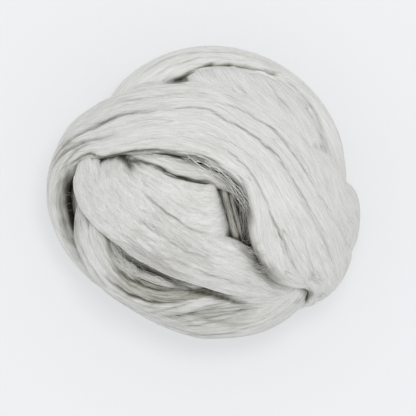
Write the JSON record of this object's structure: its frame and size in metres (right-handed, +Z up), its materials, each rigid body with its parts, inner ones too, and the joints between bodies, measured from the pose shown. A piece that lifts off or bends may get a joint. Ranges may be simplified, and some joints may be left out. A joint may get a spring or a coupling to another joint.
{
  "type": "wool roving ball",
  "caption": "Soft ball wound from a broad strand of combed, unspun wool, its wraps crossing at different angles, resting on a small flat spot.",
  "frame": {"origin": "middle of the flat spot that the ball rests on", "axes": "+Z up out of the flat spot, +X to the right and +Y to the top of the picture, which looks straight down"},
  "size_m": [0.1622, 0.1513, 0.1239],
  "materials": {
    "wool": "matt, undyed pale warm grey, combed fibres lying along each wrap"
  },
  "bodies": {
    "root": {"roving_ball": "wool"}
  },
  "joints": []
}
